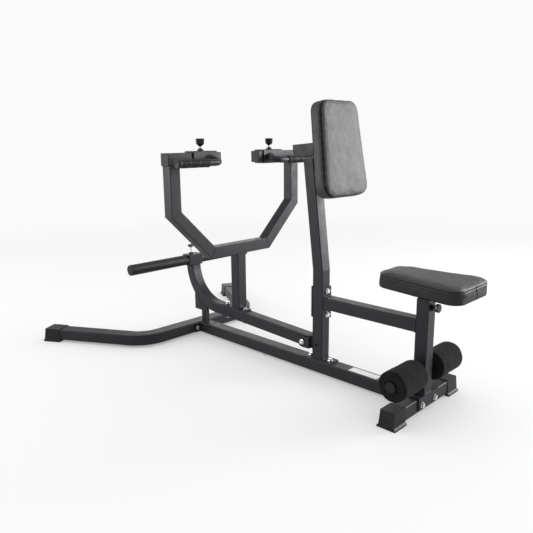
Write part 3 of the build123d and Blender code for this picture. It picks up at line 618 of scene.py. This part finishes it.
def inflate(pad, obj, pressure, reach):
    """Voxel remesh, then a short cloth simulation; no point moves further than reach."""
    frames = 20
    remesh = obj.modifiers.new("remesh", "REMESH")
    remesh.mode = "VOXEL"
    remesh.voxel_size = 0.004
    apply_modifiers(obj)
    start = vertices(obj, "co")
    fixed = pad.local(start)[:, 2] < BOARD_HOLD
    group = obj.vertex_groups.new(name="held")
    group.add([int(i) for i in np.flatnonzero(fixed)], 1.0, "REPLACE")
    cloth = obj.modifiers.new("cloth", "CLOTH")
    cloth.settings.use_pressure = True
    cloth.settings.uniform_pressure_force = pressure
    cloth.settings.vertex_group_mass = "held"
    cloth.settings.effector_weights.gravity = 0.0
    cloth.settings.quality = 6
    cloth.point_cache.frame_start = 1
    cloth.point_cache.frame_end = frames
    for number in range(1, frames + 1):
        bpy.context.scene.frame_set(number)
    apply_modifiers(obj)
    bpy.context.scene.frame_set(1)
    obj.vertex_groups.clear()
    step = vertices(obj, "co") - start
    length = np.linalg.norm(step, axis=1, keepdims=True)
    step *= np.minimum(1.0, reach / np.maximum(length, 1e-9))
    set_vertices(obj, start + step)
    even = obj.modifiers.new("even", "SMOOTH")
    even.factor, even.iterations = 0.5, 8
    apply_modifiers(obj)


def subdivided(obj):
    level = obj.modifiers.new("smooth", "SUBSURF")
    level.levels = level.render_levels = 1
    apply_modifiers(obj)
    obj.data.polygons.foreach_set("use_smooth", [True] * len(obj.data.polygons))
    obj.data.update()


def pocket(pad, obj):
    """Hollows the back of the cushion so that the board sits in it."""
    back_limit, lip, floor_w = 0.006, 0.0013, 0.0123
    local = pad.local(vertices(obj, "co"))
    inner = pad.outline(0.0088, 0.002)
    inside = np.zeros(len(local), bool)
    d = np.roll(inner, -1, 0) - inner
    centre = inner.mean(0)
    low = np.flatnonzero(local[:, 2] < back_limit)
    for i in low:
        p = local[i, :2]
        t = np.clip(((p - inner) * d).sum(1) / (d * d).sum(1), 0, 1)
        near = inner + d * t[:, None]
        k = np.argmin(((p - near) ** 2).sum(1))
        inside[i] = np.dot(near[k] - p, near[k] - centre) > 0
    local[low, 2] -= lip
    local[inside, 2] = floor_w
    set_vertices(obj, pad.world(local))


def seam_path(pad, obj, w, lift):
    """Points on the cover all round the pad at height w, found by casting inwards."""
    clear = 0.03
    tree = BVHTree.FromObject(obj, bpy.context.evaluated_depsgraph_get())
    loop = pad.outline(0.0, 0.0015)
    tangent = np.roll(loop, -1, 0) - np.roll(loop, 1, 0)
    tangent /= np.linalg.norm(tangent, axis=1, keepdims=True)
    outward = np.column_stack((tangent[:, 1], -tangent[:, 0]))
    if np.dot(outward[0], loop[0] - loop.mean(0)) < 0:
        outward = -outward
    depth = np.zeros(len(loop))
    for i, (p, n) in enumerate(zip(loop, outward)):
        origin = pad.world((*(p + n * clear), w))
        direction = pad.world((*(p - n * clear), w)) - origin
        hit = tree.ray_cast(Vector(origin), Vector(direction).normalized(), 2 * clear)
        depth[i] = clear - hit[3] if hit[0] is not None else 0.0
    depth = np.convolve(wrapped(depth, 8), np.ones(9) / 9, "same")[8:-8]
    flat = loop + outward * (depth + lift)[:, None]
    return np.column_stack((flat, np.full(len(flat), w)))


def hem(pad, body, look):
    """The vinyl turned over the board's back, puckered at the corners, and its staples."""
    count = 360
    outer_margin, width = 0.0026, 0.0239
    outer = pad.ring(outer_margin, 0.0, count)[:, :2]
    inner = pad.ring(outer_margin + width, 0.0, count)[:, :2]
    steps = np.roll(outer, -1, 0) - np.roll(outer, 1, 0)
    heading = np.unwrap(np.arctan2(steps[:, 1], steps[:, 0]))
    turning = np.abs(np.gradient(heading))
    turning = np.convolve(wrapped(turning, 9), np.ones(19) / 19, "valid")
    corner = np.clip(turning / turning.max(), 0, 1)
    index = np.arange(count)
    rows = []
    profile = ((0.0, -0.0002), (0.25, -0.0011), (0.6, -0.0013), (0.97, -0.0013),
               (1.0, -0.0008), (0.98, -0.0001), (0.5, -0.0001), (0.1, -0.0001))
    for across, w in profile:
        wave = noise_of([(i * 0.11, 3.1, pad.depth * 40) for i in index]) * 0.0018 * across
        flat = outer + (inner - outer) * across + (inner - outer) / width * wave[:, None]
        pleat = np.abs(np.sin(index * 0.75)) * corner * 0.0012 * across
        rows.append(np.column_stack((flat, w - pleat * (w < -0.0005))))
    points = pad.world(np.array(rows).reshape(-1, 3)).reshape(len(rows), count, 3)
    place(to_mesh(pad.name + "_hem", *grid(points, close_rows=True)), body, "pad_vinyl", look)
    half_staple = 0.0052
    line = pad.ring(0.0185, 0.0, 40)[:, :2]
    ahead = np.roll(line, -1, 0) - np.roll(line, 1, 0)
    staples = []
    for i, (p, d) in enumerate(zip(line, ahead)):
        d = d / np.linalg.norm(d)
        turn = 0.5 * noise.noise(Vector((i * 1.7, 0.4, pad.depth * 60)))
        d = np.array((d[0] * math.cos(turn) - d[1] * math.sin(turn),
                      d[0] * math.sin(turn) + d[1] * math.cos(turn)))
        along = np.linspace(-half_staple, half_staple, 9)
        dip = 0.0009 * (np.abs(along) / half_staple) ** 6
        path = [pad.world((*(p + d * s), -0.0019 + q)) for s, q in zip(along, dip)]
        staples.append(tube(path, 0.00045, pad.matrix[:, 2], sides=6, closed=False))
    place(to_mesh(pad.name + "_staples", *merge(staples)), body, "zinc_steel", ZINC)


def rear_seam(local):
    """Depth of the upright seam in the middle of the seat's rear wall."""
    half = 0.0013
    u, v, w = local.T
    wall = (smoothstep(u, SEAT_WIDE_END - 0.016, SEAT_WIDE_END - 0.008)
            * smoothstep(0.0455 - w, -0.003, 0.001))
    cut = -0.0034 * bell(v, half)
    lap = 0.0009 * bell(v - 2.6 * half, 2.2 * half)
    return (cut + lap) * wall


def make_seat():
    ahead = np.array((math.cos(SEAT_TILT), 0, -math.sin(SEAT_TILT)))
    up = np.array((math.sin(SEAT_TILT), 0, math.cos(SEAT_TILT)))
    plate = np.array((SEAT_POST_X, 0, SEAT_PLATE_Z))
    origin = plate + PLATE_THICK * up - SEAT_POST_X * ahead
    narrow, wide = 0.082, 0.125
    pad = Pad("seat_cushion",
              ((SEAT_NARROW_END, -narrow), (SEAT_WIDE_END, -wide), (SEAT_WIDE_END, wide),
               (SEAT_NARROW_END, narrow)),
              (0.058, 0.046, 0.046, 0.058), 0.0555, origin, ahead, AXIS_Y, up)
    obj = pad.start_shape(edge=0.012, crown=0.0035, inset=0.0008)
    inflate(pad, obj, pressure=4.0, reach=0.0024)
    subdivided(obj)
    seam_w = 0.0395
    path = seam_path(pad, obj, seam_w, -0.0004)

    def profile(local):
        u, v, w = local.T
        cut = -0.0026 * bell(w - seam_w, 0.0016)
        roll = 0.0011 * bell(w - seam_w - 0.0048, 0.0030)
        far = smoothstep(np.hypot(u - UX - 0.47, v * 1.4), 0.055, 0.095)
        soft = noise_of(local * (14, 14, 30)) * 0.0003
        return (cut + roll) * far + soft + rear_seam(local)

    pad.groove(obj, profile)
    pocket(pad, obj)
    place(obj, "seat", "pad_vinyl", SEAT_VINYL_SHADED_WALLS, "seat_pad")
    welt = tube(pad.world(path), 0.0011, up, sides=8)
    place(to_mesh("seat_welt", *welt), "seat", "pad_vinyl", SEAT_VINYL_SHADED_WALLS)
    hem(pad, "seat", SEAT_VINYL_SHADED_WALLS)


def make_chest():
    low_half, top_half, low_v, top_v = 0.132, 0.107, -0.186, 0.168
    pad = Pad("chest_cushion",
              ((-low_half, low_v), (low_half, low_v), (top_half, top_v), (-top_half, top_v)),
              (0.047, 0.047, 0.042, 0.042), 0.0570, CHEST_ORIGIN, AXIS_Y, PAD_RISE,
              PAD_FORWARD)
    obj = pad.start_shape(edge=0.0050, crown=0.0024, inset=0.0004)
    inflate(pad, obj, pressure=3.0, reach=0.0016)
    subdivided(obj)
    seam_w = 0.0440
    path = seam_path(pad, obj, seam_w, -0.0050)

    def profile(local):
        u, v, w = local.T
        around = np.arctan2(v * 0.7, u) * 42
        far = smoothstep(np.hypot(u, v * 0.62), 0.05, 0.08)
        cut = -0.0064 * bell(w - seam_w, 0.0046)
        pucker = 0.00110 * np.sin(around) * bell(w - seam_w, 0.0062)
        soft = noise_of(np.roll(local, -1, 1) * 11) * 0.0005
        folds = noise_of([(p[0] * 26, p[1] * 60, 5.0) for p in local])
        rim = smoothstep(np.hypot(u / 0.11, v / 0.175), 0.62, 0.95)
        return (cut + pucker) * far + soft + 0.0003 * folds * rim

    pad.groove(obj, profile)
    pocket(pad, obj)
    place(obj, "chest_support", "pad_vinyl", LIT_VINYL, "chest_pad")
    # The piping sits in the groove in a much darker vinyl, painted shade of the seam.
    phase = np.arange(len(path)) * 2 * math.pi / 13.0
    radius = 0.0046 * (1 + 0.16 * np.sin(phase) + 0.10 * np.sin(phase * 0.37))
    welt = tube(pad.world(path), radius, pad.matrix[:, 2], sides=10)
    place(to_mesh("chest_piping", *welt), "chest_support", "pad_vinyl", PIPING_SHADE_VINYL)
    hem(pad, "chest_support", LIT_VINYL)


# ------------------------------------------------- rollers and grips

def arc(cy, cr, radius, start, end, count):
    """Points (y, r) on an arc of the profile; degrees, 0 towards +y."""
    out = []
    for k in range(count + 1):
        a = math.radians(start + (end - start) * k / count)
        out.append((cy + radius * math.cos(a), cr + radius * math.sin(a)))
    return out


def make_roller(side, word):
    y0, y1, r0, r1 = 0.052, 0.202, 0.016, 0.0538
    corner = 0.008
    outer = arc(y1 - corner, r1 - corner, corner, 0, 90, 6)
    wall = [(y, r1) for y in np.linspace(y1 - 0.011, y0 + 0.011, 52)]
    inner = arc(y0 + corner, r1 - corner, corner, 90, 180, 6)
    face_out = [(y1 - 0.0045, r0), (y1 - 0.0032, r0 + 0.0012), (y1 - 0.0009, r0 + 0.0060)]
    face_out += [(y1 - 0.0002 * (k % 2), r)
                 for k, r in enumerate(np.linspace(r0 + 0.010, r1 - 0.011, 9))]
    face_in = [(y0 + y1 - y, r) for y, r in reversed(face_out)]
    bore = [(y, r0) for y in np.linspace(y0 + 0.012, y1 - 0.012, 6)]
    points = lathe(face_out + outer + wall + inner + face_in + bore,
                   (SEAT_POST_X, ROLLER_Z), side, segments=144, dent=0.0011, seed=side * 7.3)
    obj = to_mesh("roller_" + word, *grid(points, close_rows=True))
    place(obj, "roller_" + word, "roller_foam", FOAM, "roller_foam_" + word)


def make_grip(side, word):
    y0, y1 = 0.236, 0.388
    bore, near_axis = 0.0141, 0.0003
    rib_pitch, band_pitch, plain_band = 0.0042, 0.046, 0.006
    profile = [(y0, bore), (y0, 0.0172), (y0 + 0.0012, 0.0184), (y0 + 0.0070, 0.0184),
               (y0 + 0.0082, 0.0170)]
    for y in np.arange(y0 + 0.010, y1 - 0.012, 0.0007):
        band = 1.0 if (y - y0) % band_pitch > plain_band else 0.0
        rib = 0.5 + 0.5 * math.cos((y - y0) / rib_pitch * 2 * math.pi)
        profile.append((y, 0.0168 + 0.0010 * band * rib))
    profile += [(y1 - 0.008, 0.0170), (y1 - 0.006, 0.0182), (y1 - 0.001, 0.0182)]
    profile += [(y1, 0.0175)] + arc(y1 + 0.0032, 0.0157, 0.0018, 90, 0, 5)
    profile += [(y1 + 0.005, 0.0110), (y1 + 0.0040, 0.0100), (y1 + 0.0040, 0.0040),
                (y1 + 0.0040, near_axis), (y1 + 0.0005, near_axis), (y1 + 0.0005, bore)]
    points = lathe(profile, (GRIP_X, GRIP_Z), side, segments=56)
    obj = to_mesh("grip_" + word, *grid(points[:, ::-1], close_rows=True))
    place(obj, "handle_" + word, "grip_rubber", RUBBER, "handle_grip_" + word)


# -------------------------------------------------------------- welds

def bead(path, radius, up, seed, closed=True):
    """A weld bead: overlapping ripples, slightly uneven."""
    ripple_pitch = 0.0028
    path = np.asarray(path, float)
    ends = np.vstack((path, path[:1])) if closed else path
    lengths = ramp(ends)
    count = max(int(lengths[-1] / 0.0007), 12)
    s = np.linspace(0, lengths[-1], count, endpoint=not closed)
    fine = np.column_stack([np.interp(s, lengths, ends[:, k]) for k in range(3)])
    ripple = np.abs(np.sin(s * math.pi / ripple_pitch))
    drift = noise_of([(v * 90, seed, 0.5) for v in s])
    size = radius * (0.86 + 0.16 * ripple + 0.14 * drift)
    return tube(fine, size, up, sides=8, closed=closed)


def box_loop(centre, a, b, half_a, half_b, corner=0.004):
    """A rounded rectangle in the plane of the directions a and b."""
    corners = ((-half_a, -half_b), (half_a, -half_b), (half_a, half_b), (-half_a, half_b))
    flat = rounded(corners, (corner,) * 4, 0.0, 0.0015)
    a, b = np.array(a, float), np.array(b, float)
    return np.array(centre, float) + flat[:, :1] * a + flat[:, 1:] * b


def strip(x, half, z, seed, radius, up, upright=False, y=0.0):
    """A straight bead across the machine, or up it, of half-length half."""
    line = np.linspace(-half, half, 20)
    path = [(x, y, z + h) if upright else (x, y + h, z) for h in line]
    return bead(path, radius, up, seed, closed=False)


def base_welds():
    x, y, z = AXIS_X, AXIS_Y, AXIS_Z
    square = HALF_TUBE
    beads = [
        bead(box_loop((UX, 0, RAIL_TOP + 0.006), x, y, square, square), 0.0026, z, 1),
        bead(box_loop((UX + 0.031, 0, SEAT_BEAM_Z), y, z, square, 0.0245), 0.0026, x, 2),
        bead(box_loop((SEAT_POST_X - 0.024, 0, SEAT_BEAM_Z), y, z, square, 0.0245),
             0.0024, x, 3),
        bead(box_loop((SEAT_POST_X, 0, RAIL_TOP + 0.005), x, y, 0.024, square), 0.0026, z, 4),
        bead(box_loop((STOP_X, 0, RAIL_TOP), x, y, 0.014, 0.014, 0.003), 0.0022, z, 5),
        bead(box_loop((RAIL_REAR_X + 0.006, 0, 0.035), y, z, 0.029, 0.0235), 0.0024, x, 6),
    ]
    for side in (-1, 1):
        beads.append(strip(UX - HALF_TUBE, 0.025, 0.132, 7 + side, 0.0022, x,
                           upright=True, y=side * 0.0243))
    top_z = SLEEVE_Z - HALF_TUBE / math.cos(CHEST_PITCH)
    post_x = UX - (top_z - UPRIGHT_BEND_Z) * math.tan(UPRIGHT_LEAN)
    centre = (post_x, 0, top_z + (post_x - SLEEVE_X) * math.tan(CHEST_PITCH))
    beads.append(bead(box_loop(centre, STEM_AXIS, y, 0.0252, 0.0248), 0.0024,
                      np.cross(STEM_AXIS, y), 9))
    return beads


def lever_welds():
    x, y, z = AXIS_X, AXIS_Y, AXIS_Z
    square = HALF_TUBE
    slope = math.atan(LEVER_SLOPE)
    tilt = np.array((math.cos(slope), 0, -math.sin(slope)))
    normal = np.array((math.sin(slope), 0, math.cos(slope)))
    foot_x = YOKE_X - 0.003
    lever_top = LEVER_Z0 + LEVER_SLOPE * (LEVER_X0 - foot_x) + HALF_TUBE / math.cos(slope)
    foot = np.array((foot_x, 0, lever_top)) + normal * 0.006
    beads = [
        bead(box_loop(foot, tilt, y, square, square), 0.0026, normal, 11),
        bead(box_loop((foot_x, 0, 0.437), x, y, square, square), 0.0024, z, 12),
        bead(box_loop((HORN_X, 0, HORN_SEAT_Z), x, y, square, square), 0.0024, z, 13),
    ]
    for edge in (-1, 1):
        beads.append(strip(YOKE_X + edge * 0.0253, 0.027, YOKE_LOW_Z, 14 + edge, 0.0020, z))
    # Where the tubes of the yoke meet at 45 degrees: outer and inner corner as (y, z).
    k = 2 * HALF_TUBE * math.tan(math.radians(22.5))
    mitres = (((0.177, YOKE_LOW_Z), (0.177 - k, YOKE_LOW_Z + 0.050)),
              ((0.380, 0.641), (0.330, 0.641 + k)))
    for side in (-1, 1):
        for number, (low, high) in enumerate(mitres):
            p = np.array((YOKE_X, side * (low[0] + high[0]) / 2, (low[1] + high[1]) / 2))
            d = np.array((0, side * (high[0] - low[0]), high[1] - low[1]))
            length = np.linalg.norm(d)
            d /= length
            loop = box_loop(p, x, d, 0.0248, length / 2 - 0.0004, 0.003)
            beads.append(bead(loop, 0.0013, np.cross(x, d), 17 + number + 3 * side))
        beads.append(bead(box_loop((YOKE_X, side * YOKE_ARM_Y, YOKE_TOP_Z), x, y,
                                   square, square), 0.0022, z, 24 + side))
    return beads


def make_welds():
    place(to_mesh("welds_base", *merge(base_welds())), "base", "frame_coat", POWDER)
    place(to_mesh("welds_lever", *merge(lever_welds())), "lever", "frame_coat", POWDER)

    seat = bead(box_loop((SEAT_POST_X, 0, SEAT_PLATE_Z), AXIS_X, AXIS_Y, 0.021, 0.022, 0.003),
                0.0022, AXIS_Z, 31)
    place(to_mesh("welds_seat", *seat), "seat", "frame_coat", POWDER)

    plate = CHEST_ORIGIN - PLATE_THICK * PAD_FORWARD
    chest = bead(box_loop(plate, PAD_RISE, AXIS_Y, 0.0217, 0.0215, 0.003), 0.0022,
                 PAD_FORWARD, 32)
    place(to_mesh("welds_chest", *chest), "chest_support", "frame_coat", POWDER)

    root_z = GRIP_Z + 0.058 * math.sin(HANDLE_TILT)
    for side, word in SIDES:
        turn = np.linspace(0, 2 * math.pi, 72, endpoint=False)
        loop = [(UX - 0.4551, side * (0.1765 + 0.0204 * math.cos(a)),
                 root_z + 0.0148 * math.sin(a)) for a in turn]
        ring = bead(loop, 0.0022, AXIS_X, 33 + side)
        place(to_mesh("welds_handle_" + word, *ring), "handle_" + word, "frame_coat", POWDER)


# -------------------------------------------------- floor and lights

def make_floor():
    """A round floor that fades into the background."""
    floor_z, sides = -0.0004, 96
    rows = []
    for r in (0.02, 0.5, 1.0, 1.5, 2.0, 2.6, 3.2, 4.0, 5.0, 6.5):
        a = np.linspace(0, 2 * math.pi, sides, endpoint=False)
        rows.append(np.column_stack((r * np.cos(a), r * np.sin(a), np.full(sides, floor_z))))
    verts, faces = grid(np.array(rows))
    verts.append((0, 0, floor_z))
    faces += [(len(verts) - 1, k, (k + 1) % sides) for k in range(sides)]
    floor = to_mesh("studio_floor", verts, faces)
    mat = bpy.data.materials.new("studio_floor")
    mat.use_nodes = True
    t = mat.node_tree
    t.nodes.remove(t.nodes["Principled BSDF"])
    coord = add(t, "TexCoord").outputs["Object"]
    distance = add(t, "VectorMath", {0: coord}, operation="LENGTH").outputs["Value"]
    fade = add(t, "MapRange", {"Value": distance, "From Min": 2.2, "From Max": 5.2},
               interpolation_type="SMOOTHSTEP").outputs["Result"]
    tone = add(t, "TexNoise", {"Vector": coord, "Scale": 3.0, "Detail": 2.0}).outputs["Fac"]
    paint = mix(t, tone, (0.612, 0.612, 0.609), (0.616, 0.616, 0.613))
    matte = add(t, "BsdfDiffuse", {"Color": paint}).outputs[0]
    lift = add(t, "Emission", {"Color": (1.0, 1.0, 1.0, 1.0), "Strength": 0.32}).outputs[0]
    diffuse = add(t, "AddShader", {0: matte, 1: lift}).outputs[0]
    clear = add(t, "BsdfTransparent").outputs[0]
    both = add(t, "MixShader", {0: fade, 1: diffuse, 2: clear}).outputs[0]
    t.links.new(both, t.nodes["Material Output"].inputs["Surface"])
    floor.data.materials.append(mat)


def softbox(name, position, target, width, height, watts, diffuse=True):
    """An area light; without diffuse it shows only as a highlight."""
    data = bpy.data.lights.new(name, "AREA")
    data.shape = "RECTANGLE"
    data.size, data.size_y = width, height
    data.energy = watts
    obj = bpy.data.objects.new(name, data)
    obj.location = position
    obj.rotation_euler = (Vector(target) - Vector(position)).to_track_quat("-Z", "Y").to_euler()
    obj.visible_camera = False
    obj.visible_diffuse = diffuse
    bpy.context.scene.collection.objects.link(obj)


def make_lights():
    world = bpy.data.worlds.new("studio")
    bpy.context.scene.world = world
    world.use_nodes = True
    t = world.node_tree
    seen = t.nodes["Background"]
    seen.inputs["Color"].default_value = (0.955, 0.955, 0.955, 1)
    seen.inputs["Strength"].default_value = 1.0
    light = add(t, "Background", {"Color": (0.98, 0.98, 1.0, 1), "Strength": 0.86})
    is_camera = add(t, "LightPath").outputs["Is Camera Ray"]
    both = add(t, "MixShader", {0: is_camera, 1: light.outputs[0], 2: seen.outputs[0]}).outputs[0]
    t.links.new(both, t.nodes["World Output"].inputs["Surface"])
    softbox("top_softbox", (0.2, 0.4, 4.4), (0.1, 0.1, 0.2), 3.2, 3.2, 24)
    softbox("right_softbox", (2.55, 3.05, 1.25), (0.2, 0.05, 0.75), 1.7, 2.0, 75)
    softbox("right_glint", (2.42, 3.02, 1.75), (0.2, 0.05, 0.85), 1.0, 2.5, 178,
            diffuse=False)
    softbox("left_softbox", (-2.9, -3.0, 1.25), (0.0, 0.0, 0.7), 2.5, 1.9, 34)
    softbox("left_glint", (-2.45, -3.3, 1.50), (0.0, 0.0, 0.7), 2.5, 1.8, 76,
            diffuse=False)
    softbox("back_glint", (-2.9, 3.1, 1.3), (0.1, 0.0, 0.4), 3.0, 1.6, 24, diffuse=False)
    view = bpy.context.scene.view_settings
    view.view_transform = "Standard"
    view.look = "None"
    view.exposure = 0.0
    view.gamma = 1.0


make_floor()
make_lights()
make_seat()
make_chest()
for side, word in SIDES:
    make_roller(side, word)
    make_grip(side, word)
make_welds()

bpy.context.view_layer.update()
